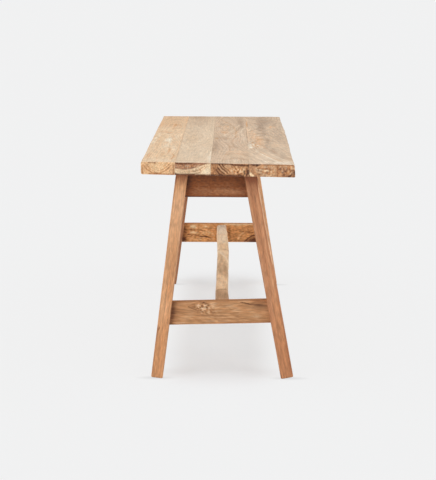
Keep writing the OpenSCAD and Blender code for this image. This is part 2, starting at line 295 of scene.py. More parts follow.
def makeBoard(name, shape, look, place, material, node):
    points, quads, arris, endGrain = boardPoints(shape)
    seed = shape["seed"]
    grain, mass = grainOf(points, look, seed)
    size, amount = boardSurface["waver"]
    waver = 1 + amount * softNoise(points, size, seed + 8)
    # Tones: paler or darker (some of the darker ones painted shade), warmer or greyer, and dirt in the
    # checks
    tone = np.zeros((len(points), 3))
    for (*numbers, shade, warmth), face in marksOf(look, shape, "Patches"):
        weight = spreadOf(points, numbers, face, waver)
        tone[:, :2] += weight[:, None] * (shade / 100, warmth / 100)
    for (halfWidth, shade, warmth, *line), face in marksOf(look, shape, "Strokes"):
        line = [onFace(spot, *face[:2]) for spot in line]
        weight = np.exp(-(distanceTo(points, line) * waver / halfWidth) ** 2)
        tone[:, :2] += weight[:, None] * (shade / 100, warmth / 100)
    # Burr: the grain curls tightly there, so pale and dark, warm and grey lie side by side
    for number, ((*numbers, a, b, c, amount), face) in enumerate(marksOf(look, shape, "Burrs")):
        weight = amount * spreadOf(points, numbers, face, waver)
        inside = weight > boardSurface["leastCurl"]
        for channel in (0, 1):
            curl = softNoise(points[inside], (a, b, c), seed + 17 + 5 * number + channel)
            tone[inside, channel] += boardSurface["curl"] * weight[inside] * curl
    moved = points.copy()
    if "reshape" in shape:
        moved = shape["reshape"](moved)
    for axis, (share, size) in enumerate(zip(boardSurface["unevenShares"], boardSurface["unevenSizes"])):
        moved[:, axis] += share * shape["uneven"] * softNoise(points, size, seed + 3.1 * axis)
    for line, halfWidth, depth, inward in look.get("checks", []):
        near = np.clip(1 - distanceTo(points, line) * waver / halfWidth, 0, 1)
        moved += depth * near[:, None] ** boardSurface["checkPower"] * np.array(inward, float)
        tone[:, 2] = np.maximum(tone[:, 2], np.clip(near * boardSurface["checkDirt"], 0, 1))
    # All faces point outwards, on mirrored boards too
    world = place(*moved.T)
    a, b, c, d = (world[quads[:, i]] for i in range(4))
    volume = np.einsum("ij,ij->i", np.cross(c - a, d - b), (a + b + c + d) / 4 - world.mean(0)).sum()
    if volume < 0:
        quads = quads[:, ::-1]
    mesh = bpy.data.meshes.new(name)
    mesh.from_pydata((world / perMetre).tolist(), [], quads.tolist())
    mesh.polygons.foreach_set("use_smooth", np.ones(len(quads), bool))
    wear = np.stack([arris, endGrain, mass], 1)
    for layer, values in zip(boardLayers, (grain / perMetre, tone, wear)):
        made = mesh.attributes.new(layer, "FLOAT_VECTOR", "POINT")
        made.data.foreach_set("vector", values.astype(np.float32).ravel())
    mesh.materials.append(material)
    board = newObject(name, mesh)
    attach(board, "root")
    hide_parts(node)
    print(name, len(mesh.vertices), "points")


# Plain-sawn teak. Growth rings are round the pith, so the same field gives arcs on the ends, arches
# on the broad faces and stripes on the quarter. Sizes in mm, along and across the grain
woodDefaults = {
    "knotDark": "#6b4026",
    "knotPale": "#c48a55",
    "ringWidth": 4.8,
    "ringContrast": 0.6,
    "endContrast": 0.75,
    "ringWander": 5.0,           # how far the rings stray from round
    "wanderSize": (240, 34),
    "fibreSize": (38, 2.6),      # real fibres are finer; this is the finest that shows
    "fibre": 0.19,
    "streakSize": (110, 4.2),
    "streak": 0.11,
    "endTexture": 1.5,           # how much rougher the end grain looks than the faces
    "fleck": 0.14,
    "poreSize": (7, 0.9),
    "pore": 0.35,
    "mottleSize": (16, 26),
    "mottle": 0.12,
    "cloudSize": (190, 40),
    "cloud": 0.5,
    "roughness": (0.52, 0.72),
    "relief": 0.35,              # mm between early and late wood after brushing
    "fibreHeight": 0.6,          # of the fibres, as a share of the relief
    "bump": 0.6,
    "specular": 0.35,
    "arris": 0.5,
    "season": [(0, 0.55), (0.1, 0.08), (0.5, 0.22), (0.86, 1), (1, 0.55)],   # darkness through one ring
    "ringDepths": (0.35, 1),
    "ringDrift": 1.6,
    "knotRings": 17,
    "knotEdge": 0.12,
    "knotRim": [(0, 0), (0.06, 0.9), (0.22, 0.8), (0.42, 0)],
    "cloudRange": (0.45, 0.68),  # where in its noise a field starts and where it is full
    "fleckRange": (0.52, 0.72),
    "textureRange": (0.25, 0.75),
    "poreRange": (0.6, 0.72),
    "arrisRange": (0.2, 0.55),
}


def woodMaterial(name, look):
    look = {**woodDefaults, **look}
    colours = {key: linearColour(value) for key, value in look.items() if isinstance(value, str)}
    material, tree = newMaterial(name)
    grain, tone, wear = [put(tree, "Attribute", attribute_name=layer).outputs["Vector"]
                         for layer in boardLayers]
    shade, warmth, dirt = put(tree, "SeparateXYZ", {0: tone}).outputs
    arris, endGrain, knot = put(tree, "SeparateXYZ", {0: wear}).outputs

    along, across = look["wanderSize"]
    stray = patternOf(tree, grain, (along, across, across), 1.3).outputs["Color"]
    stray = vectorMaths(tree, "SUBTRACT", stray, (0.5, 0.5, 0.5))
    reach = look["ringWander"] * 2 / perMetre
    stray = vectorMaths(tree, "MULTIPLY", stray, (0, reach, reach))
    bent = vectorMaths(tree, "ADD", grain, stray)

    fields = {}
    for field, detail in (("fibre", 3), ("streak", 2), ("pore", 1.5), ("mottle", 3), ("cloud", 3)):
        along, across = look[field + "Size"]
        pattern = patternOf(tree, bent, (along, across, across), detail, Roughness=0.6)
        fields[field] = pattern.outputs["Fac"]

    # Growth rings: pale early wood that darkens to the late wood and starts again
    radius = vectorMaths(tree, "LENGTH", vectorMaths(tree, "MULTIPLY", bent, (0, 1, 1)))
    rings = maths(tree, "MULTIPLY", radius, perMetre / look["ringWidth"])
    rings = maths(tree, "MULTIPLY_ADD", fields["cloud"], look["ringDrift"], rings)
    ringNumber = maths(tree, "FLOOR", rings)
    ringDepth = put(tree, "TexWhiteNoise", {"W": ringNumber}, noise_dimensions="1D").outputs[0]
    season = put(tree, "ValToRGB", {0: maths(tree, "FRACT", rings)}, stops=look["season"]).outputs["Color"]
    season = maths(tree, "MULTIPLY", season, ranged(tree, ringDepth, 0, 1, *look["ringDepths"]))
    strength = ranged(tree, endGrain, 0, 1, look["ringContrast"], look["endContrast"])
    season = maths(tree, "MULTIPLY", season, strength, clamp=True)
    face = mixed(tree, season, colours["early"], colours["late"])
    ends = mixed(tree, season, colours["endEarly"], colours["endLate"])
    if "sapwood" in look:
        inner, outer = (reach / perMetre for reach in look["sapwood"])
        ends = mixed(tree, ranged(tree, radius, inner, outer), ends, colours["sapTone"])
    cloud = ranged(tree, fields["cloud"], *look["cloudRange"], 0, look["cloud"])
    face = mixed(tree, cloud, face, colours["cloudTone"])
    colour = mixed(tree, endGrain, face, ends)

    # Tones of one board: warmer and greyer, paler and darker (the darker partly painted shade), with other
    # hues on some boards' ends
    for tint, signal, sign in (("Warm", warmth, 1), ("Grey", warmth, -1),
                               ("Pale", shade, 1), ("Dark", shade, -1)):
        share = maths(tree, "MULTIPLY", signal, sign, clamp=True)
        hue = colours[tint.lower()]
        if "end" + tint in colours:
            hue = mixed(tree, endGrain, hue, colours["end" + tint])
        colour = mixed(tree, share, colour, hue)
    rougher = ranged(tree, endGrain, 0, 1, 1, look["endTexture"])
    flecks = ranged(tree, fields["streak"], *look["fleckRange"], 0, look["fleck"])
    colour = mixed(tree, maths(tree, "MULTIPLY", flecks, rougher, clamp=True), colour, colours["warm"])
    texture = 0
    for field in ("fibre", "streak", "mottle"):
        part = ranged(tree, fields[field], *look["textureRange"], -look[field], look[field], clamp=False)
        texture = maths(tree, "ADD", texture, part)
    level = maths(tree, "MULTIPLY_ADD", texture, rougher, 1)
    colour = put(tree, "VectorMath", {0: colour, "Scale": level}, operation="SCALE").outputs[0]
    pores = ranged(tree, fields["pore"], *look["poreRange"], 0, look["pore"])
    colour = mixed(tree, pores, colour, colours["poreTone"])

    # Knots: a dark rim round small rings of their own
    knotRings = maths(tree, "MULTIPLY_ADD", knot, look["knotRings"], fields["mottle"])
    knotRings = ranged(tree, maths(tree, "SINE", knotRings), -1)
    heart = mixed(tree, knotRings, colours["knotDark"], colours["knotPale"])
    colour = mixed(tree, ranged(tree, knot, 0, look["knotEdge"]), colour, heart)
    rim = put(tree, "ValToRGB", {0: knot}, stops=look["knotRim"]).outputs["Color"]
    colour = mixed(tree, rim, colour, colours["knotDark"])

    # Wear bares paler wood along the arrises, in places
    worn = maths(tree, "MULTIPLY", arris, fields["mottle"])
    worn = ranged(tree, worn, *look["arrisRange"], 0, look["arris"])
    colour = mixed(tree, worn, colour, colours["arrisTone"])
    colour = mixed(tree, dirt, colour, colours["checkTone"])
    height = maths(tree, "MULTIPLY_ADD", fields["fibre"], look["fibreHeight"], season)
    height = maths(tree, "SUBTRACT", height, pores)
    relief = look["relief"] / perMetre
    bump = put(tree, "Bump", {"Strength": look["bump"], "Distance": relief, "Height": height}).outputs[0]
    rough = ranged(tree, fields["fibre"], 0, 1, *look["roughness"])
    coat(tree, {"Base Color": colour, "Roughness": rough, "Normal": bump, "IOR": 1.5,
                "Specular IOR Level": look["specular"]})
    return material


seat = {
    "length": 1200,
    "width": 325,
    "height": 460,
    "thickness": 26,
    "gap": 0.05,
    "sag": {-1: 5.4, 1: 0.6},          # how much lower the front edge hangs, at either end
    "proud": {-1: 1.1, 1: 0.0},        # how much higher than level the top has warped, at either end
    "leftWidths": (70, 74, 78.5),      # of the three straight planks, from the back
    "rightWidths": (71.5, 74.5, 82.5),
}
naturalEdge = {
    "taper": 7.5,
    "swell": 2.5,
    "swellPower": 1.15,
    "ripple": 0.3,
    "ripples": ((1, 40, 1130), (0.6, 0, 2270), (0.4, 75, 3890)),
    "undercut": 4,
    "undercutSlope": (-0.4, 1.4),      # its share at the left end, and how much that grows
    "undercutWaves": [(0.2, 0, 1480)],
    "bumps": (((17, 40, 14), 5, 0.9), ((6, 40, 8), 8, 0.4)),   # size, seed and height
    "barkReach": 22,                   # how far in from the edge it is uneven
    "stations": 40,
}
lastPlank = len(seat["leftWidths"])


def jointLine(number, x):
    left, right = sum(seat["leftWidths"][:number]), sum(seat["rightWidths"][:number])
    return seat["width"] / 2 - blend(left, right, x / seat["length"] + 0.5)


def edgeReach(share):
    middle = waves(share ** naturalEdge["swellPower"], [(1, 0, 180)])
    return (naturalEdge["taper"] * share + naturalEdge["swell"] * middle ** 2
            + naturalEdge["ripple"] * waves(share, naturalEdge["ripples"]))


edgeMost = edgeReach(np.arange(naturalEdge["stations"] + 1) / naturalEdge["stations"]).max()


def edgeLine(x):
    return -seat["width"] / 2 + edgeMost - edgeReach(np.clip(x / seat["length"] + 0.5, 0, 1))


def plankPlace(u, v, w):
    share = u / seat["length"] + 0.5
    sag = blend(seat["sag"][-1], seat["sag"][1], share)
    proud = blend(seat["proud"][-1], seat["proud"][1], share)
    lower = sag * (seat["width"] / 2 - v) / seat["width"] - proud
    return np.stack([u, v, w + seat["height"] - seat["thickness"] - lower], 1)


def plankSides(number):
    gap = seat["gap"] / 2

    def sides(u):
        back = seat["width"] / 2 if number == 0 else jointLine(number, u) - gap
        front = edgeLine(u) if number == lastPlank else jointLine(number + 1, u) + gap
        return front, back, 0, seat["thickness"]
    return sides


# The bark side of the board: it leans in towards the underside, with small hollows and bumps
def naturalSide(points):
    u, v, w = points.T.copy()
    share = u / seat["length"] + 0.5
    reach = naturalEdge["barkReach"]
    start, growth = naturalEdge["undercutSlope"]
    under = naturalEdge["undercut"] * (start + growth * share + waves(share, naturalEdge["undercutWaves"]))
    fade = np.clip(1 - (v - edgeLine(u)) / reach, 0, 1) ** 1.5
    low = np.clip((reach - w) / reach, 0, 1)
    rough = sum(softNoise(points, size, seed) * height for size, seed, height in naturalEdge["bumps"])
    points[:, 1] = v + fade * (under * low ** 1.25 + np.abs(rough))
    return points


seatShape = {
    "reach": (-seat["length"] / 2, seat["length"] / 2),
    "faces": {"top": (2, seat["thickness"], 10), "end": (0, -seat["length"] / 2, 4)},
    "endRound": 0.4, "uneven": 0.4, "wornReach": 0.7,
    "fine": 1.3, "step": 10, "columns": 56, "rows": 18,
}

# Patches are place, reach, shade and warmth, the last two in percent. Burrs are place, reach, size of
# the curls and amount. Strokes are half width, shade, warmth and a line. Checks are a line, half
# width, depth and direction

# Golden board, sawn and oiled: warm, with a short curly figure and rings that hang like smiles on its end
backPlankLook = {
    "early": "#ecd0ae", "late": "#cb9563", "cloudTone": "#e2bd93", "endEarly": "#efc393",
    "endLate": "#b87b48", "warm": "#dc9f66", "grey": "#d9c8b2", "pale": "#f8ecd6", "dark": "#b07a4c",
    "poreTone": "#b98b60", "arrisTone": "#f2dcbe", "checkTone": "#4a2c1a", "endWarm": "#d48a4c",
    "endGrey": "#d3b592", "endPale": "#f6dcb2", "endDark": "#8a4f29",
    "arris": 0.25, "ringWidth": 4.6, "ringContrast": 0.5, "endContrast": 0.5, "mottle": 0.1,
    "mottleSize": (24, 11),
    "pith": [
        (-600, 127, 38), (-480, 125, 33), (-300, 118, 40), (0, 134, 62), (300, 112, 50), (600, 128, 70),
    ],
    "topPatches": [
        (-110, 126, 50, 7, 55, -30), (-160, 156, 40, 5, 50, 0), (-250, 124, 36, 8, 50, 0),
        (-310, 104, 50, 6, 35, 0), (40, 150, 60, 6, 35, 0), (-30, 105, 60, 5, 25, 0),
        (-430, 157, 60, 4, 35, 0), (300, 121, 60, 3, -10, 35), (300, 128, 50, 40, -12, 5),
        (330, 157, 90, 5, 0, 35), (-350, 112, 50, 3, -15, 50), (-460, 154, 60, 4, -10, 50),
        # The patch at the far end (520) is painted shade: darker towards the far end, where the light
        # falls off
        (520, 130, 26, 200, 50, 20, -22, 5), (-560, 120, 26, 30, 40, 8, 20, 0),
    ],
    "endPatches": [(153, 12, 7, 8, -15, 10), (128, 14, 30, 14, 35, 0), (100, 9, 7, 7, -20, 10)],
    "topStrokes": [
        (1, -10, 55, (-590, 162), (590, 162)), (8, -15, 25, (590, 162), (590, 92)),
        (1.2, 25, 50, (596, 94), (-596, 92.6)), (2, -10, 50, (340, 120), (270, 117)),
        (9, 0, 40, (120, 160), (90, 128)), (2.5, 75, 0, (-40, 156), (-100, 155)),
        (3.5, 60, -20, (-60, 120), (-190, 118)), (1.8, -15, 70, (-420, 104), (-470, 98), (-540, 103)),
    ],
    "endStrokes": [
        (1.3, -60, 40, (157, 20), (151, 11), (139, 4), (126, 3), (115, 6.5), (106, 12.5)),
        (1.2, -80, 20, (113, 10), (106.5, 14), (101, 20)),
        (1.1, -72, 20, (114, 14), (109, 17), (105, 21.5)),
        (1.1, -56, 20, (116, 18), (112, 21.5), (109, 25)),
        (1.2, -56, 10, (153, 24), (148, 17.5), (143, 13.5)), (1.5, -70, 50, (146, 1.2), (95, 1.2)),
        (0.9, -35, 20, (150, 20), (144, 12), (134, 8), (122, 8.5), (114, 13)),
        (0.9, -30, 20, (145, 22), (138, 15), (127, 13.5)), (1.2, -56, 60, (159.6, 19), (159.4, 3)),
        (2.2, -80, 0, (95, 20), (94.5, 4)), (0.8, -100, 0, (148, 25), (134, 25)),
        (1.3, -140, 0, (133.6, 24.8), (133, 22)),
    ],
    "topBurrs": [(-80, 127, 330, 40, 34, 8, 8, 0.14)],
    "endBurrs": [(127, 13, 36, 14, 5, 4, 3, 0.28)],
    "checks": [
        ([(-601, 133.6, 24.3), (-600.5, 136, 25.4), (-600.5, 142, 25.6)], 0.9, 1, (0.7, 0, -0.7)),
    ],
}

# Board bleached on top by sun and brushing: grey beige, brown heart and pale sapwood on its end
secondPlankLook = {
    "early": "#e6cfb3", "late": "#c39d76", "cloudTone": "#dabf9f", "endEarly": "#c38f6a",
    "endLate": "#6a3b24", "sapTone": "#edcfa8", "warm": "#dcae7c", "grey": "#c4b09b", "pale": "#f0e0ca",
    "dark": "#a3764e", "poreTone": "#a98c6c", "arrisTone": "#f0dfc6", "checkTone": "#45291a",
    "endWarm": "#d08a50", "endGrey": "#b8a28c", "endPale": "#fbe7c6", "endDark": "#6b3a20",
    "sapwood": (71.5, 75), "arris": 0.2, "ringContrast": 0.4, "endContrast": 0.6, "endTexture": 1.8,
    "fibre": 0.18, "mottle": 0.06, "streak": 0.07, "fleck": 0.08,
    "pith": [(-600, 75, 85), (-350, 64, 78), (0, 58, 60), (200, 60, 74), (600, 66, 60)],
    "topPatches": [
        (-460, 36, 120, 10, 25, 10), (-500, 24, 60, 4, 55, 0), (-150, 23, 170, 3, 30, 30),
        # The two patches at the far end (480 and 560) are painted shade: darker towards the far end, where
        # the light falls off
        (100, 36, 200, 8, 18, 10), (-30, 70, 200, 14, -6, 10), (480, 60, 220, 40, -26, -25),
        (150, 56, 160, 40, -6, -10), (560, 60, 40, 40, -20, -10), (-400, 60, 90, 22, 0, -20),
    ],
    "endPatches": [
        (84, 24, 6, 2.5, -60, 20), (52, 22.5, 4, 2.5, -50, 10), (35, 24, 4, 2, -50, 10),
        (30, 9.5, 9, 8, 60, 0), (66, 19, 20, 6, -20, 15), (40, 11, 1.8, 1.8, -25, 90),
        (27, 7, 2.5, 2, 30, -70),
    ],
    "topStrokes": [
        (6, 25, 10, (-540, 62), (-540, 26)), (5, -12, 0, (-560, 90), (-560, 20)),
        (1.4, 70, -20, (-350, 20.5), (-596, 21)), (1.3, -20, 25, (-596, 92), (596, 90.5)),
        (4, -16, 0, (-590, 90), (-590, 22)), (9, -25, 20, (590, 90), (590, 16)),
        (5, 30, 0, (-575, 90), (-575, 22)),
    ],
    "endStrokes": [
        (1.2, -130, 0, (91, 25.2), (60, 25.2)), (1, -64, 20, (60, 25.4), (20, 25.4)),
        (1.1, -40, 50, (87, 8), (66, 7.7), (51, 9), (40, 13.5), (30, 20)),
        (1.1, -48, 30, (82, 4), (53, 3.5), (40, 7), (32.5, 13.5), (25, 20)),
        # The stroke at 0.9 is painted shade along the bottom edge of the end
        (2, -150, 0, (93, 0.9), (17, 0.9)),
    ],
    "topBurrs": [(0, 55, 700, 50, 60, 12, 8, 0.06)],
    "endBurrs": [(68, 20, 26, 7, 5, 3.6, 3, 0.7)],
}

# Same finish on a board cut close to the pith, so its top shows loops and its end tight arcs
thirdPlankLook = {
    "early": "#ddc4aa", "late": "#b98f69", "cloudTone": "#cbb193", "endEarly": "#c88f61",
    "endLate": "#40210f", "warm": "#e0a66c", "grey": "#b9a591", "pale": "#f0dfc8", "dark": "#8f6d50",
    "poreTone": "#9c7d5f", "arrisTone": "#ecdac0", "checkTone": "#3a2216", "endWarm": "#cf8648",
    "endGrey": "#9c7c66", "endPale": "#f0cda2", "endDark": "#5c3019",
    "arris": 0.2, "endContrast": 0.5, "endTexture": 1.9, "mottle": 0.07, "streak": 0.09,
    "pith": [
        (-600, -34, 29), (-500, -36, 20), (-400, -36, 9), (-300, -30, -4), (-100, -16, -2),
        (100, -12, 13), (250, -10, 25), (400, -16, 11), (600, -14, -4),
    ],
    "topPatches": [
        (255, -8, 90, 10, 20, 30), (110, -10, 40, 9, 0, 35), (330, -4, 40, 7, -35, -30),
        (-230, 10, 150, 8, -40, -20), (-330, 15, 50, 3, -35, 0), (430, -50, 140, 8, -35, -40),
        (300, -54, 120, 4, -15, -30), (-40, -4, 40, 22, -22, 0), (-50, 10, 12, 4, -30, 60),
        (-390, -38, 60, 12, 35, 35), (-540, -32, 40, 8, 30, 0), (60, -52, 60, 4, 35, 0),
        (-60, -56, 60, 4, 45, 10), (450, -20, 200, 50, -6, -8),
    # The patch at the far end (450) is painted shade: darker towards the far end, where the light falls
    # off
    ],
    "endPatches": [
        (12, 13, 9, 14, -20, 10), (-4, 6, 12, 7, 15, 10), (-38, 12, 15, 8, 75, 15),
        (-16, 22, 8, 3, 25, -20),
    ],
    "topStrokes": [
        (1.8, -25, 35, (540, 12), (440, -8), (300, -30), (140, -38), (-20, -36)),
        (1.6, 35, 20, (150, -42), (70, -30), (-30, -20)), (1.2, -35, 30, (-596, 19), (-300, 18.6)),
        (1.8, 30, 30, (-480, -2), (-420, -14), (-350, -20)), (4, 20, 0, (-590, 18), (-590, -60)),
        (2.4, 45, 10, (330, -48), (170, -30), (20, -8)),
        (3, 50, 10, (240, -58), (100, -46), (-30, -24)), (9, -20, 25, (590, 16), (590, -64)),
        (1.6, -30, 10, (290, -52), (130, -38), (-10, -16)),
        (2.6, 10, 40, (310, 2), (295, -14), (250, -20)), (7, 0, 35, (110, 2), (90, -14)),
        (6, 30, 50, (-360, -22), (-340, -40), (-370, -56)),
        (5, -30, 20, (-420, -12), (-395, -38), (-430, -58)),
        (5, 30, 20, (-470, -8), (-440, -38), (-480, -60)),
        (5, -25, 20, (-520, -10), (-490, -40), (-530, -60)),
    ],
    "endStrokes": [
        (1.4, -128, 0, (7.5, 12.5), (2, 5.5), (-5, 1)), (1.4, -140, 0, (4.5, 18), (-1, 10.5), (-9, 5)),
        (1.4, -140, 0, (0.5, 22.5), (-6, 14.5), (-16, 7)),
        (1.4, -136, 0, (-5, 23), (-11.5, 15.5), (-20.5, 10)),
        (1.1, 96, 0, (2.5, 21), (-4, 12.5), (-12, 6.5)),
        (1.1, 96, 0, (-2.5, 23), (-9, 15.5), (-18, 8.5)),
        (1.2, 80, 10, (-9.5, 19.5), (-16.5, 14), (-23.5, 11)), (1.1, -128, 0, (18, 25.4), (-26, 25.2)),
        # The stroke at 0.9 is painted shade along the bottom edge of the end
        (1.9, -136, 10, (-26, 23.6), (-58, 22.6)), (2, -150, 0, (18, 0.9), (-46, 0.9)),
        (2, -140, 0, (-56, 15), (-58.4, 7), (-55.6, 1.5)),
        (1.1, -80, 40, (-33, 16), (-38, 11), (-36, 5), (-44, 3)),
        (1.1, -80, 40, (-40, 17), (-46, 13), (-44, 7)),
    ],
    "topBurrs": [(0, -20, 700, 50, 50, 9, 8, 0.08), (300, 0, 160, 26, 26, 7, 8, 0.22)],
    "endBurrs": [(14, 13, 6, 14, 4, 3.6, 3.6, 0.4), (-38, 12, 15, 9, 4, 3.6, 3.6, 0.9)],
    "checks": [
        ([(-600.5, -47, -1), (-600.5, -52, 5), (-600.5, -51, 11)], 1.6, 2.5, (1, 0, 0)),
        ([(-600.5, -60.5, 26), (-600.5, -59, 14), (-600.5, -59.5, 6)], 1.1, 1.6, (1, 0, 0)),
    ],
}

# Same finish, with the tree's own outline left along the front
naturalPlankLook = {
    "early": "#dec6ab", "late": "#ba916d", "cloudTone": "#c8ae92", "endEarly": "#c28c62",
    "endLate": "#623a21", "warm": "#e3ab74", "grey": "#ae9a87", "pale": "#f7ecd8", "dark": "#94735a",
    "poreTone": "#9a7b5d", "arrisTone": "#ecd8bc", "checkTone": "#3d2417", "endWarm": "#d08c54",
    "endGrey": "#97806f", "endPale": "#f4d6ab", "endDark": "#613720",
    "arris": 0.2, "endContrast": 0.35, "endTexture": 1.9, "mottle": 0.1, "mottleSize": (26, 13),
    "streak": 0.1,
    "pith": [(-600, -170, -30), (-300, -120, -20), (0, -96, -40), (300, -104, -60), (600, -90, -40)],
    "topPatches": [
        (-228, -68.5, 55, 5.5, 80, 15), (-142, -75, 18, 2.4, -50, 50), (60, -78, 120, 8, 10, 40),
        (-90, -92, 90, 12, 5, 55), (-210, -86, 60, 6, 0, 40), (270, -128, 60, 4, 10, 50),
        (-200, -132, 50, 10, 20, 40), (-470, -100, 80, 20, 35, 20), (-565, -132, 28, 20, 75, 30),
        (-560, -90, 24, 16, 35, 25), (330, -106, 230, 9, -15, -35), (450, -118, 150, 20, -15, -35),
        (100, -110, 60, 5, -22, -20), (-60, -113, 70, 5, -20, -25), (-320, -119, 60, 6, -25, -30),
        # The patch at the far end (420, -110) is painted shade: darker towards the far end, where the
        # light falls off
        (-430, -136, 60, 8, -15, -30), (60, -140, 260, 12, -5, -35), (420, -110, 240, 60, -12, -10),
    ],
    "endPatches": [
        (-69.6, 22.6, 2.4, 1.6, -100, 0), (-76, 22, 2.4, 1.6, -100, 0), (-110, 7, 6, 5, 30, 40),
        (-125, 17, 2, 2, -90, 0), (-142, 10, 13, 13, -5, 20), (-100, 14, 30, 12, 20, 0),
    ],
    "topStrokes": [
        (1.8, 25, 45, (560, -66), (-130, -66.5)), (1.6, -30, 35, (440, -68), (260, -69)),
        (2.2, 40, 25, (-170, -80), (-300, -96), (-420, -116), (-560, -148)),
        (2, -30, 30, (-150, -88), (-280, -106), (-400, -128), (-480, -150)),
        (1.8, 30, 10, (-260, -74), (-400, -92), (-560, -120)), (4, 30, 0, (-590, -64), (-590, -152)),
        (1.8, -15, 50, (420, -64), (380, -66), (280, -67)), (1.6, -75, 40, (-180, -73), (-225, -73.5)),
        (3, 10, 60, (260, -126), (300, -132), (250, -140)),
        (7, -22, -15, (340, -102), (100, -96), (-60, -108), (-280, -105), (-380, -123)),
        (9, -20, 25, (590, -64), (590, -160)), (2, 50, 30, (-330, -78), (-420, -96), (-540, -122)),
        (1.8, -30, 30, (-350, -86), (-450, -106), (-560, -134)),
        (1.8, 40, 20, (-370, -66), (-470, -80), (-570, -100)),
    ],
    "endStrokes": [
        (2.1, 160, 0, (-62.5, 6.5), (-65.5, 3), (-68, 1)),
        (1, -140, 0, (-59.4, 6), (-60.4, 0), (-63, -2)),
        (0.9, -70, 10, (-66, 9.5), (-71.5, 5), (-75, 1)), (1.4, -112, 0, (-61, 25), (-78, 24.8)),
        (1, -72, 30, (-78, 25.2), (-152, 25)), (1.2, -56, 50, (-78, 17), (-99, 17)),
        (1.6, -48, 80, (-101, 20), (-103.5, 12), (-101, 7)), (1.6, -80, 60, (-119.5, 22), (-120, 0)),
        (1.7, -128, 0, (-138, 3), (-144, 1.5), (-148, 7)),
        (1.4, -80, 20, (-130, 20), (-136, 13), (-134, 7)), (2.6, -96, 30, (-153, 13), (-152, -2)),
    ],
    "topBurrs": [(60, -100, 400, 36, 34, 8, 8, 0.16), (-210, -76, 70, 14, 16, 4.4, 8, 0.95)],
    "endBurrs": [(-92, 12, 22, 12, 4, 3.8, 3.6, 0.55), (-140, 12, 18, 14, 4, 4, 4, 0.72)],
    "checks": [
        ([(-600.5, -72, 25.5), (-600.5, -77, 24), (-600.5, -83, 25.5)], 1.6, 2.4, (0.7, 0, -0.7)),
        ([(-600.5, -60.2, 12), (-600.5, -60.4, 5), (-600.5, -61.5, -1)], 1, 2.6, (1, 0, 0)),
    ],
}

# Name, CAD node, look, radii of the four arrises, and how much of the ends' round the front, the back
# and the flat faces take
planks = (
    ("backPlank", "back_plank", backPlankLook, (0.35, 4.5, 2.5, 0.35), (0.2, 1, 1)),
    ("secondPlank", "second_plank", secondPlankLook, (0.35, 0.35, 0.35, 0.35), (0.2, 0.2, 1)),
    ("thirdPlank", "third_plank", thirdPlankLook, (0.35, 0.35, 0.35, 0.35), (0.2, 0.2, 1)),
    ("naturalEdgePlank", "natural_edge_plank", naturalPlankLook, (3, 0.35, 0.35, 3.2), (1, 0.2, 1)),
)
for number, (name, node, look, rounds, endShares) in enumerate(planks):
    shape = {**seatShape, "sides": plankSides(number), "rounds": rounds, "endShares": endShares,
             "seed": 1.3 + 2.7 * number}
    if number == lastPlank:
        shape["reshape"] = naturalSide
    makeBoard(name, shape, look, plankPlace, woodMaterial(name + "Teak", look), node)
print("seat done")


trestle = {
    "middle": 545,            # distance of a trestle's middle from the seat's middle
    "legThickness": {-1: 26.5, 1: 24.5},     # front and back legs
    "legDepth": 80,
    "soleFlat": 5,
    "footInset": {-1: 24.5, 1: 22.5},        # left and right trestle
    "topInset": {-1: 91.5, 1: 86.5},
    "topShift": {-1: 7.5, 1: 4},
    "footShift": {-1: 6.5, 1: 3},
    "railThickness": 25,
    "railTenon": 0.4,                        # how far a rail's end runs into the leg
    "apronHeight": 51.5,
    "railHeight": {-1: 48.5, 1: 51.5},
    "railTop": {-1: 160.5, 1: 166},
    "railSlope": {-1: 1.5, 1: 0},            # degrees, down to the back
}
seatUnder = seat["height"] - seat["thickness"]


def topY(end, side):
    return trestle["topShift"][end] + side * (seat["width"] / 2 - trestle["topInset"][end])


def footY(end, side):
    return side * (seat["width"] / 2 - trestle["footInset"][end]) - trestle["footShift"][end]


def legLean(end, side):
    return math.atan2(footY(end, side) - topY(end, side), seatUnder)


def innerY(end, side, z):
    middle = blend(footY(end, side), topY(end, side), z / seatUnder)
    return middle - side * trestle["legThickness"][side] / 2 / math.cos(legLean(end, side))


# Sawn and oiled legs: straight soft stripes, paler where hands and feet rub the arrises
legLook = {
    "early": "#dba77d", "late": "#a86f44", "cloudTone": "#c98f63", "endEarly": "#b98559",
    "endLate": "#7c4d2d", "warm": "#d99560", "grey": "#a4714f", "pale": "#efc49d", "dark": "#8a5031",
    "poreTone": "#8e5636", "arrisTone": "#e8b98d", "checkTone": "#4a2b1a",
    "ringWidth": 4.2, "ringContrast": 0.26, "endContrast": 0.6, "ringWander": 3,
    "wanderSize": (260, 30), "mottle": 0.1, "mottleSize": (22, 5), "cloudSize": (150, 12), "cloud": 0.3,
    "fibreSize": (18, 2.2), "fibre": 0.34, "streak": 0.1, "streakSize": (120, 3.6), "fleck": 0.05,
    "pore": 0.22,
}
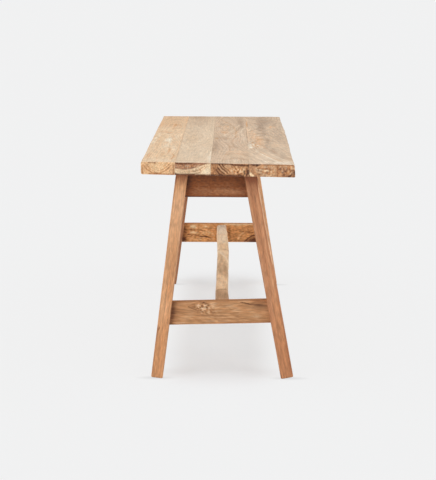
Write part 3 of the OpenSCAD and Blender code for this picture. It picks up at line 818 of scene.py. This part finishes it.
# Name, left or right end (-1, 1), front or back (-1, 1), and what is the leg's own
legs = (
    ("leftBackLeg", -1, 1, {
        "early": "#d39b6d", "late": "#a06840",
        "mottle": 0.13, "mottleSize": (14, 3.2),
        "knots": [(109, 8.4, 1.6, 3)],
        "pith": [(0, 70, 60)],
        "facePatches": [
            (350, 5, 90, 4, 15, 20), (160, -5, 120, 4, 10, 40), (228, -5, 45, 5, -28, -10),
            (152, 1, 30, 8, 18, 0), (90, -9, 60, 3, -15, 0), (360, -6, 50, 5, 20, 0),
            (40, 4, 90, 14, -18, 35), (380, 0, 60, 16, 15, 0),
        ],
        "faceStrokes": [
            # The wide dark stroke across the top of the leg (at 440) is painted shade under the seat
            (22, -100, 0, (440, -12), (440, 12)), (1.6, 20, 10, (400, 8), (20, 7)),
            (1, -40, 20, (430, 11.8), (60, 11.8)), (1.8, -40, 0, (430, 11.2), (385, 11.2)),
            (1.6, -40, 10, (110, 11.4), (8, 11.4)), (1.4, 10, 50, (200, -2), (30, -3)),
            (1.4, 25, 0, (370, -11), (180, -11)),
        ],
    }),
    ("leftFrontLeg", -1, -1, {
        "early": "#bf835b", "late": "#935936", "cloudTone": "#b1754f",
        "cloud": 0.15,
        "pith": [(0, -60, 80)],
        "facePatches": [(330, 4, 90, 5, -15, -15), (150, -5, 120, 5, 12, 30), (60, 2, 80, 18, -20, 20)],
        "faceStrokes": [
            # The wide dark stroke across the top of the leg (at 440) is painted shade under the seat
            (22, -120, 0, (440, -13), (440, 13)),
            (1.3, 120, 0, (425, -12.3), (330, -12.5), (250, -12.6, -39)),
            (1.6, -15, -10, (430, 3), (380, 2), (330, 3)),
            (1.1, -40, 0, (430, -9.4), (300, -9.6), (220, -9.8)), (1.8, 15, 10, (390, -5), (200, -6)),
            (1.8, -60, 30, (210, -12), (10, -12.2)), (1.8, 15, 0, (330, 4), (200, 5), (80, 3)),
            (3, -25, 0, (70, -9), (8, -9)), (1.4, 25, 10, (430, 11), (300, 10), (200, 11)),
        ],
    }),
    ("rightBackLeg", 1, 1, {
        "early": "#ac7652", "late": "#7c4c2e", "cloudTone": "#956040",
        "pith": [(0, 60, -70)],
        "facePatches": [(365, 0, -40, 50, 20, 30, 35, 10), (215, 0, -40, 85, 20, 30, -35, 0)],
    }),
    ("rightFrontLeg", 1, -1, {
        "early": "#dca578", "late": "#af764c", "cloudTone": "#ca9063",
        "pith": [(0, -75, -50)],
    }),
)


def legPlace(end, side):
    lean = legLean(end, side)
    most = seatUnder / math.cos(lean)

    def place(u, v, w):
        stretched = u + np.clip(u / most, 0, 1) * (-v * math.tan(lean))   # the top is cut level
        y = footY(end, side) + v * math.cos(lean) - stretched * math.sin(lean)
        z = v * math.sin(lean) + stretched * math.cos(lean)
        below = np.minimum(z, 0) / math.cos(lean)                        # the floor wore this away
        y += below * math.sin(lean)
        return np.stack([end * trestle["middle"] + w, y, z - below * math.cos(lean)], 1)
    return place


for number, (name, end, side, own) in enumerate(legs):
    lean = abs(legLean(end, side))
    half, deep = trestle["legThickness"][side] / 2, trestle["legDepth"] / 2
    soleStart = math.tan(lean) * (half - trestle["soleFlat"] * math.cos(lean))
    shape = {
        "reach": (soleStart, seatUnder / math.cos(lean)),
        "sides": lambda u, half=half, deep=deep: (-half, half, -deep, deep),
        "faces": {"face": (2, -deep, 20)},
        "rounds": (3, 3, 3, 3), "endRound": 2.2, "uneven": 0.45,
        "fine": 1.5, "step": 6, "columns": 16, "rows": 34,
        "seed": 20.3 + 1.7 * number,
    }
    look = {**legLook, **own}
    node = {-1: "left", 1: "right"}[end] + {1: "_back_leg", -1: "_front_leg"}[side]
    makeBoard(name, shape, look, legPlace(end, side), woodMaterial(name + "Teak", look), node)


def railPlace(end, middle, slope):
    front, back = innerY(end, -1, middle), innerY(end, 1, middle)

    def place(u, v, w):
        share = (u - front) / (back - front)
        z = v - u * math.tan(math.radians(slope))
        slant = blend(innerY(end, -1, z) - front, innerY(end, 1, z) - back, share)
        return np.stack([w + end * trestle["middle"], u + slant, z], 1)
    return place, (front - trestle["railTenon"], back + trestle["railTenon"])


# Brown board, planed smooth: lines along it that part round a knot
nearRailLook = {
    **legLook,
    "early": "#ca9565", "late": "#96653d", "cloudTone": "#b78256", "warm": "#d89460", "grey": "#8e6e52",
    "pale": "#f0cda6", "dark": "#5f3720",
    "ringWidth": 3.6, "ringContrast": 0.5, "ringWander": 2, "wanderSize": (180, 20),
    "mottleSize": (18, 5), "cloudSize": (90, 10), "fibreSize": (34, 2.2), "fibre": 0.2,
    "streakSize": (80, 2.6), "streak": 0.16,
    "pith": [(-110, 142, 28), (-62, 134, 24), (-10, 128, 40), (40, 150, 46), (110, 152, 50)],
    # The dark band at the left end, beside the leg (100, 139), is painted shade cast by the leg
    "facePatches": [
        (44, 152, 3.6, 3, 90, 0), (31.5, 151.5, 4, 3.4, 95, 0), (35, 145.5, 4, 2.4, 50, 10),
        (13, 152, 7, 5, 50, 10), (22, 138, 4, 4, 45, 10), (54, 151, 7, 3.4, -45, 30),
        (-88, 159, 16, 6, -35, 60), (-60, 160, 12, 3, 35, 20), (-92, 146, 14, 5, -35, -10),
        (100, 139, 8, 40, -85, 0), (-79, 125, 7, 6, 30, 10),
    ],
    "faceStrokes": [
        (1.2, -70, 0, (46, 149), (42, 156), (34, 159), (27, 157.5)),
        (1.1, -130, 0, (38, 154.5), (36, 151), (39, 148)),
        (1.2, 80, 0, (42, 156), (46, 151), (42, 146), (34, 145.5)),
        (1.1, -50, 10, (66, 150.5), (56, 146), (44, 141)),
        (1.1, -40, 10, (66, 151), (56, 156), (44, 161)),
        (1.2, -75, 0, (25, 155), (23.5, 150), (27, 146.5)),
        (1.1, -75, 0, (28, 142), (38, 142.5), (46, 147)), (1.3, -50, 0, (29, 136.5), (25, 134)),
        (1.1, 20, 30, (62, 158), (34, 163), (0, 156)),
        (1.4, -40, 20, (3, 137.5), (-18, 138.5), (-40, 135.5)),
        (1.1, -20, 0, (62, 144), (34, 131), (0, 130), (-40, 129)),
        (1, -22, 0, (20, 122), (-30, 124), (-70, 120)),
        (1.3, -85, 0, (-47.6, 157.4), (-56, 156), (-68, 152.6)),
        (2.2, -50, -10, (-70, 152.4), (-84, 150.8), (-103, 149)), (1.5, 50, 30, (95, 116), (72, 116)),
        (1.4, -25, 90, (17, 114.5), (-105, 113.5)), (1, -30, 0, (60, 137.5), (74, 138), (96, 137)),
        (0.9, -28, 0, (-2, 122.6), (-44, 121.6), (-96, 122.4)),
        (0.9, 25, 0, (-6, 126.4), (-50, 125.6), (-90, 127)), (1, -15, 60, (80, 161), (-40, 159.6)),
    ],
    "faceBurrs": [
        (34, 149, 15, 11, 4, 3.6, 6, 1), (20, 139, 12, 6, 5, 3.6, 6, 0.5),
        (0, 138, 140, 30, 20, 2.6, 8, 0.22),
    ],
    "checks": [([(-50, 157.5, -12.5), (-66, 154, -12.5)], 0.7, 0.6, (0, 0, 1))],
}

# Rough board with a curly, scarred face: bright curls, dark cracks and wide arcs at its front end
farRailLook = {
    **legLook,
    "early": "#eeac6b", "late": "#a5623a", "cloudTone": "#d48e54", "warm": "#eaa35f", "grey": "#9c6340",
    "pale": "#f4d3a4", "dark": "#673a1f", "arrisTone": "#ecd0ac",
    "ringWidth": 6, "ringContrast": 0.7, "ringWander": 9, "wanderSize": (30, 16), "mottle": 0.2,
    "fleck": 0.04, "mottleSize": (11, 9), "cloudSize": (26, 9), "cloud": 0.6,
    "pith": [(-110, 100, -16), (-40, 80, 0), (20, 110, 22), (110, 100, 20)],
    "facePatches": [
        (79.5, 158, 8, 4, 150, 0), (78, 141.5, 12, 4, 80, 20), (44.5, 159, 7, 3, 80, 20),
        (31, 141, 14, 5, 50, 20), (70, 122, 26, 5, 30, 20), (29, 139.5, 15, 4, 20, 70),
        (60, 121, 30, 4, 15, 50), (102, 138, 8, 34, -65, 0), (103, 122, 9, 6, -60, 0),
        (38, 130, 4, 2.4, -80, 0), (14, 140, 4, 30, -35, 20), (-23, 140, 4.5, 30, -55, 0),
        (-36, 152, 14, 5, 20, 60), (-74, 132, 9, 6, 20, 40), (-90, 121, 15, 10, -120, 0),
        (-76, 117, 9, 6, -60, 0), (-50, 150, 45, 18, -25, 0), (-84, 160, 12, 3, -35, 0),
        (-38, 122, 8, 8, -30, 20),
    ],
    "faceStrokes": [
        (1.2, -80, 0, (101, 148.5), (69, 149.5), (52, 148.5)),
        (1.3, -95, 0, (92, 136), (72, 135), (58, 131.5), (38, 129.5), (30, 126.5)),
        (1.8, -50, 20, (96, 120), (12, 118)), (1.8, -50, 20, (-24, 120), (-70, 119)),
        (1.2, -80, 0, (-62, 145), (-77, 143), (-92, 142)),
        (1.6, 60, -10, (-66, 145), (-54, 136), (-43, 121)),
        (1, -35, 0, (-68, 141), (-57, 133), (-48, 119)),
        (1.5, -110, 0, (-98, 136), (-85, 132.5), (-73, 125.5), (-63, 116)),
        (0.9, 35, 20, (-96, 129), (-86, 125.5), (-78, 117)),
        (1.2, 50, 0, (-10, 164.5, -12.3), (-92, 165, -12.3)),
        (6, 80, 0, (-12, 166, -8), (-92, 166, -8)), (6, 10, 50, (96, 166, -8), (0, 166, -8)),
    ],
    "faceBurrs": [(52, 142, 64, 30, 7, 4.6, 6, 0.45), (-50, 142, 50, 30, 7, 4.6, 6, 0.3)],
    "checks": [([(58, 132, -12.5), (44, 129.5, -12.5), (38, 129.5, -12.5)], 0.9, 0.8, (0, 0, 1))],
}

# Dark red board in the shade of the seat, left rough from the saw, with painted shade along its top and at
# its left end beside the leg
apronLook = {
    **legLook,
    "early": "#905022", "late": "#61300d", "cloudTone": "#7a3f18", "warm": "#ad7048", "grey": "#6e4a33",
    "pale": "#c08a60", "dark": "#4c2a17", "poreTone": "#5a3019", "arrisTone": "#a06a45",
    "ringWidth": 5, "ringContrast": 0.35, "poreSize": (4, 1.2), "mottleSize": (8, 8), "fibre": 0.3,
    "fibreSize": (7, 2.4), "pore": 0.5,
    "pith": [(0, 500, 60)],
    "facePatches": [
        # The dark patch at the left end beside the leg (68) is painted shade
        (68, 415, 8, 34, -90, 0), (10, 395, 70, 8, 30, 30), (-30, 393, 26, 5, 30, 20),
        (-52, 412, 12, 12, -30, 0), (10, 424, 50, 8, -30, 0),
    ],
    # The stroke along the top (432) is painted shade under the seat
    "faceStrokes": [(1.6, -75, 20, (90, 383.4), (-90, 383.4)), (3, -60, 0, (90, 432), (-90, 432))],
    "faceBurrs": [(0, 404, 90, 34, 5, 3.6, 6, 0.22)],
}

# Name, CAD node, end, top, height, look and number of points across
rails = (
    ("leftRail", "left_rail", -1, trestle["railTop"][-1], trestle["railHeight"][-1], nearRailLook, 40),
    ("rightRail", "right_rail", 1, trestle["railTop"][1], trestle["railHeight"][1], farRailLook, 40),
    ("leftApron", "left_apron", -1, seatUnder, trestle["apronHeight"], apronLook, 30),
    ("rightApron", "right_apron", 1, seatUnder, trestle["apronHeight"], apronLook, 30),
)
for number, (name, node, end, top, height, look, columns) in enumerate(rails):
    bottom, deep = top - height, trestle["railThickness"] / 2
    place, reach = railPlace(end, bottom + height / 2, trestle["railSlope"][end] if number < 2 else 0)
    shape = {
        "reach": reach,
        "sides": lambda u, bottom=bottom, height=height, deep=deep: (bottom, bottom + height, -deep, deep),
        "faces": {"face": (2, -deep, 8)},
        "rounds": (2.4, 2.0, 2.0, 2.4), "endRound": 0.2, "uneven": 0.3,
        "fine": 1.5, "step": 2.2, "columns": columns, "rows": 18,
        "seed": 40.1 + 2.3 * number,
    }
    makeBoard(name, shape, look, place, woodMaterial(name + "Teak", look), node)

pocket = {
    "radius": 4.1,
    "depth": 23,
    "sides": 24,
    "spare": 2,               # how far the drill starts below the wood
}


# Pocket from below for each screw that holds the seat, as in the CAD
def cutPockets(apron, end):
    whole = apron.data
    spots = KDTree(len(whole.vertices))
    for vertex in whole.vertices:
        spots.insert(vertex.co, vertex.index)
    spots.balance()
    under = seatUnder - trestle["apronHeight"]
    x = end * trestle["middle"]
    count = pocket["sides"]
    turns = np.radians(np.arange(count) * 360 / count)
    circle = pocket["radius"] * np.stack([np.cos(turns), np.sin(turns)], 1)
    heights = (under - pocket["spare"], under + pocket["depth"])
    for number in (1, 2):
        back = min(jointLine(number, x), innerY(end, 1, seatUnder))
        front = max(jointLine(number + 1, x), innerY(end, -1, seatUnder))
        ring = circle + (x, (back + front) / 2)
        points = np.concatenate([np.insert(ring, 2, z, 1) for z in heights])
        faces = [tuple(range(count - 1, -1, -1)), tuple(range(count, 2 * count))]
        faces += [(i, (i + 1) % count, count + (i + 1) % count, count + i) for i in range(count)]
        mesh = bpy.data.meshes.new("pocket")
        mesh.from_pydata((points / perMetre).tolist(), [], faces)
        drill = newObject("pocket", mesh)
        bore = apron.modifiers.new("bore", "BOOLEAN")
        bore.object = drill
        bpy.context.view_layer.update()
        graph = bpy.context.evaluated_depsgraph_get()
        bored = bpy.data.meshes.new_from_object(apron.evaluated_get(graph))
        apron.modifiers.remove(bore)
        apron.data = bored
        bpy.data.objects.remove(drill)
    # The cut empties the layers, so each point takes them from the nearest point of the whole board
    nearest = [spots.find(vertex.co)[1] for vertex in apron.data.vertices]
    for layer in boardLayers:
        values = np.zeros(len(whole.vertices) * 3, np.float32)
        whole.attributes[layer].data.foreach_get("vector", values)
        apron.data.attributes[layer].data.foreach_set("vector", values.reshape(-1, 3)[nearest].ravel())


for name, end in (("leftApron", -1), ("rightApron", 1)):
    cutPockets(bpy.data.objects[name], end)
print("trestles done")


# Peeled branch, dried and bleached: pale, with bark scars, cross marks and a slow wave
stretcherLook = {
    "early": "#fee0b9", "late": "#d8ab80", "cloudTone": "#ecc399", "endEarly": "#bf9468",
    "endLate": "#8a6140", "warm": "#dca67a", "grey": "#a98b70", "pale": "#fbe8cf", "dark": "#9a7453",
    "poreTone": "#93734f", "arrisTone": "#e8cfaf", "checkTone": "#5a3d27",
    "ringWidth": 4, "ringContrast": 0.25, "wanderSize": (120, 20), "mottle": 0.14,
    "mottleSize": (24, 7), "cloudSize": (60, 14), "cloud": 0.3, "fibre": 0.14, "streak": 0.08,
    "fleck": 0.1, "pore": 0.1,
    "pith": [(0, -6, 138)],
    "topPatches": [
        (450, -1, 163.5, 130, 20, 16, 80, 20), (-350, -6, 159.5, 230, 30, 16, -10, 25),
        (280, -4, 162.7, 60, 12, 16, 50, 0), (80, -6, 161.7, 28, 14, 16, 35, 0),
        (-10, 0, 161.2, 60, 8, 16, -35, 0), (-150, -5, 160.4, 90, 14, 16, -55, 0),
        (-330, -6, 159.6, 60, 12, 16, 20, 0), (-480, -6, 158.8, 60, 24, 16, -50, 20),
        (500, -1, 163, 60, 24, 20, 50, 0),
    ],
    "topStrokes": [
        (5, -35, 0, (362, 12, 163), (360, -20, 163)), (5, -30, 10, (200, 10, 162.3), (202, -22, 162.3)),
        (8, -40, 20, (118, 10, 161.8), (114, -24, 161.8)),
        (2.2, 110, 10, (95, 6, 161.6), (30, -8, 161.4), (-45, -19, 161)),
        (1.6, 40, 50, (150, -20), (-80, -20.5)), (1.4, -30, 90, (-60, -20.5), (-440, -21, 158)),
        (4, 35, 0, (-240, 5), (-330, -16, 159.6)), (4, 30, 0, (-290, 7, 159.8), (-390, -10, 159.3)),
        (5, -45, 0, (-414, 8, 159.1), (-416, -24, 159.1)),
        (3, -30, 20, (520, 13, 158), (240, 8, 158), (0, 7.5, 156), (-520, 7, 154)),
        (3, -20, 40, (520, -13, 158), (240, -20, 158), (0, -21, 156), (-520, -22, 154)),
    ],
    "topBurrs": [(0, -6, 160, 700, 22, 14, 60, 9, 8, 0.16)],
}
stretcher = {
    "end": 532.3, "tenon": 0.4, "height": 40, "width": 28,
    "top": {-1: 158.5, 1: 164}, "shift": {-1: 7, 1: 8.5},
    "wander": 2, "shiver": (0.2, 180, 1050),
    "bend": 7.6, "bendFrom": 1.63, "bendSpan": 0.38, "bendPower": 1.3,
    "swell": 0.6, "swells": ((0.7, 60, 560), (0.4, 10, 1390)), "swellShift": -0.2,
}


def branchMiddle(share):
    size, slow, quick = stretcher["shiver"]
    shiver = waves(share, [(size, 0, slow)]) * waves(share, [(1, 0, quick)])
    bent = np.maximum(0, share / stretcher["bendSpan"] - stretcher["bendFrom"]) ** stretcher["bendPower"]
    return (blend(-stretcher["shift"][-1], -stretcher["shift"][1], share)
            + stretcher["wander"] * (waves(np.sqrt(share), [(1, 0, 180)]) + shiver)
            + stretcher["bend"] * bent)


def branchSides(u):
    share = np.clip((u + stretcher["end"]) / (2 * stretcher["end"]), 0, 1)
    swell = waves(share, stretcher["swells"]) + stretcher["swellShift"]
    half = stretcher["width"] / 2 + stretcher["swell"] * swell
    middle = branchMiddle(share)
    top = blend(stretcher["top"][-1], stretcher["top"][1], share)
    return middle - half, middle + half, top - stretcher["height"], top


stretcherShape = {
    "reach": (-stretcher["end"] - stretcher["tenon"], stretcher["end"] + stretcher["tenon"]),
    "sides": branchSides,
    "faces": {"top": (2, 160, 16)},
    "rounds": (7, 7, 6, 6), "endRound": 0.3, "uneven": 0.9, "wornReach": 3.0,
    "fine": 3, "step": 5, "columns": 18, "rows": 24,
    "seed": 61.7,
}
makeBoard("branchStretcher", stretcherShape, stretcherLook, lambda u, v, w: np.stack([u, v, w], 1),
          woodMaterial("bleachedBranch", stretcherLook), "stretcher")
print("stretcher done")


# Plain wood, oiled teak or machined beech: fine fibres and soft stripes along Y
plainWood = {
    "fibreSize": (1.2, 34, 1.2), "fibreShare": 0.6,
    "stripeSize": (14, 160, 14), "stripeWaver": 1.2,
    "range": (0.55, 1.05), "bump": 0.5, "relief": 0.2, "roughness": 0.62,
}


def cadWood(name, early, late):
    look = plainWood
    material, tree = newMaterial(name)
    spot = put(tree, "TexCoord").outputs["Object"]
    fibre = patternOf(tree, spot, look["fibreSize"], 4, Roughness=0.6).outputs["Fac"]
    stripe = patternOf(tree, spot, look["stripeSize"], 2, Distortion=look["stripeWaver"]).outputs["Fac"]
    level = maths(tree, "MULTIPLY_ADD", fibre, look["fibreShare"], stripe)
    level = ranged(tree, level, *look["range"])
    colour = mixed(tree, level, linearColour(early), linearColour(late))
    relief = look["relief"] / perMetre
    bump = put(tree, "Bump", {"Strength": look["bump"], "Distance": relief, "Height": fibre}).outputs[0]
    coat(tree, {"Base Color": colour, "Roughness": look["roughness"], "IOR": 1.5, "Normal": bump})
    return material


# Zinc-plated steel, drawn and pressed: dull grey with faint cloudy spangle
steel, tree = newMaterial("zincPlatedSteel")
spot = put(tree, "TexCoord").outputs["Object"]
cloud = patternOf(tree, spot, (1.5, 1.5, 1.5), 3).outputs["Fac"]
colour = mixed(tree, cloud, linearColour("#a9a9a4"), linearColour("#cfcfca"))
coat(tree, {"Base Color": colour, "Roughness": ranged(tree, cloud, 0, 1, 0.3, 0.5), "Metallic": 1})

keptNodes = {
    "batten": cadWood("sawnBattenTeak", "#cf9f72", "#9c6b43"),
    "plank_dowels": cadWood("turnedBeech", "#dcbd93", "#c09a6b"),
    "apron_screws": steel,
    "batten_screws": steel,
}
for node, material in keptNodes.items():
    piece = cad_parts[node]
    if not piece.data.materials:
        piece.data.materials.append(material)
    for socket in piece.material_slots:
        socket.link = "OBJECT"
        socket.material = material
print("kept CAD parts done")


studio = {
    "background": "#f1f1f1",
    "world": 0.35,
    "lamps": (            # from, strength, degrees wide: above, both sides and front
        ((-0.12, 0.05, 1), 0.5, 30),
        ((-0.15, 1, 0.8), 1.15, 80),
        ((-0.15, -1, 0.8), 1.15, 80),
        ((-1, 0.1, 0.36), 0.62, 50),
    ),
    # The floor and what lies on it are measured in metres
    "floor": (-60, 140, 60),      # its ends along the seat, and its reach across
    "paintTint": (0.965, 1.0, 1.04),
    "shadow": 0.66,       # share of the floor that is lit rather than even, under the bench
    "openShadow": 0.08,   # the same round it
    "shadowEdges": ((0.3, 0.85), (0.055, 0.14)),   # from and to, along and across
    # Painted shadow: the even paint is darker in thin lines beside the soles
    "feetMiddle": (-0.0375, -0.0075, 0),   # the thin dark lines beside the soles lie round this point
    "feet": (0.5425, 0.141, 0),            # and this far from it
    "feetScale": (2.5, 1, 0),
    "feetReach": (0.012, 0.045),
    "paintedFeetShadow": 0.14,
}

# Matt floor paint, rolled smooth and pale
floorMesh = bpy.data.meshes.new("floor")
first, last, across = studio["floor"]
corners = [(first, -across, 0), (last, -across, 0), (last, across, 0), (first, across, 0)]
floorMesh.from_pydata(corners, [], [(0, 1, 2, 3)])
floor = newObject("floor", floorMesh)
floorMaterial, tree = newMaterial("paintedFloor")
background = linearColour(studio["background"])
openLight = studio["world"] + sum(Vector(way).normalized().z * power / math.pi
                                  for way, power, width in studio["lamps"])
paint = [c / openLight * tint for c, tint in zip(background, studio["paintTint"])] + [1.0]
lit = put(tree, "BsdfDiffuse", {"Color": paint}).outputs[0]
spot = put(tree, "TexCoord").outputs["Object"]
under = 1
for axis, (first, last) in enumerate(studio["shadowEdges"]):
    away = put(tree, "SeparateXYZ", {0: spot}).outputs[axis]
    away = maths(tree, "ABSOLUTE", away)
    inside = ranged(tree, away, first, last, 1, 0, interpolation_type="SMOOTHSTEP")
    under = maths(tree, "MULTIPLY", under, inside)
# Painted shadow beside the soles: the even paint's strength drops near them
toFeet = vectorMaths(tree, "ABSOLUTE", vectorMaths(tree, "SUBTRACT", spot, studio["feetMiddle"]))
toFeet = vectorMaths(tree, "SUBTRACT", toFeet, studio["feet"])
toFeet = vectorMaths(tree, "MULTIPLY", toFeet, studio["feetScale"])
toFeet = vectorMaths(tree, "LENGTH", toFeet)
strength = ranged(tree, toFeet, *studio["feetReach"], 1 - studio["paintedFeetShadow"], 1)
even = put(tree, "Emission", {"Color": background, "Strength": strength}).outputs[0]
share = ranged(tree, under, 0, 1, 1 - studio["openShadow"], 1 - studio["shadow"])
seen = put(tree, "LightPath").outputs["Is Camera Ray"]
share = maths(tree, "MULTIPLY", seen, share)
surface = put(tree, "MixShader", {0: share, 1: lit, 2: even}).outputs[0]
put(tree, "OutputMaterial", {"Surface": surface})
floorMesh.materials.append(floorMaterial)

world = bpy.data.worlds.new("studio")
bpy.context.scene.world = world
world.use_nodes = True
tree = world.node_tree
tree.nodes.clear()
path = put(tree, "LightPath").outputs["Is Camera Ray"]
glow = put(tree, "Background", {"Color": (1, 1, 1, 1), "Strength": studio["world"]}).outputs[0]
backdrop = put(tree, "Background", {"Color": background, "Strength": 1}).outputs[0]
both = put(tree, "MixShader", {0: path, 1: glow, 2: backdrop}).outputs[0]
put(tree, "OutputWorld", {"Surface": both})

for number, (way, power, width) in enumerate(studio["lamps"]):
    lamp = bpy.data.lights.new("softbox%d" % number, "SUN")
    lamp.energy = power
    lamp.angle = math.radians(width)
    lampObject = newObject("softbox%d" % number, lamp)
    lampObject.rotation_euler = Vector(way).normalized().to_track_quat("Z", "Y").to_euler()

# Seen from the left end, from a little above table height
view = {
    "at": (-3.89006, -0.01388, 0.81623),     # in metres
    "turn": -0.0051,
    "down": 0.156,
    "roll": 0.0038,
    "pictureHeight": 480,
    "focal": 1605.57,        # in pixels of that picture
    "sensor": 24,
    "farthest": 400,
}
turn, down, roll = view["turn"], view["down"], view["roll"]
ahead = Vector((math.cos(turn) * math.cos(down), -math.sin(turn) * math.cos(down), -math.sin(down)))
level = Vector((-math.sin(turn), -math.cos(turn), 0))
up = level.cross(ahead)
rightWay = math.cos(roll) * level + math.sin(roll) * up
upWay = math.cos(roll) * up - math.sin(roll) * level
camera = bpy.data.cameras.new("camera")
camera.sensor_fit = "VERTICAL"
camera.sensor_height = view["sensor"]
camera.lens = view["focal"] / view["pictureHeight"] * view["sensor"]
camera.clip_end = view["farthest"]
cameraObject = newObject("camera", camera)
axes = Matrix((rightWay, upWay, -ahead)).transposed().to_4x4()
cameraObject.matrix_world = Matrix.Translation(view["at"]) @ axes
bpy.context.scene.camera = cameraObject
bpy.context.scene.view_settings.view_transform = "Standard"
print("studio done")
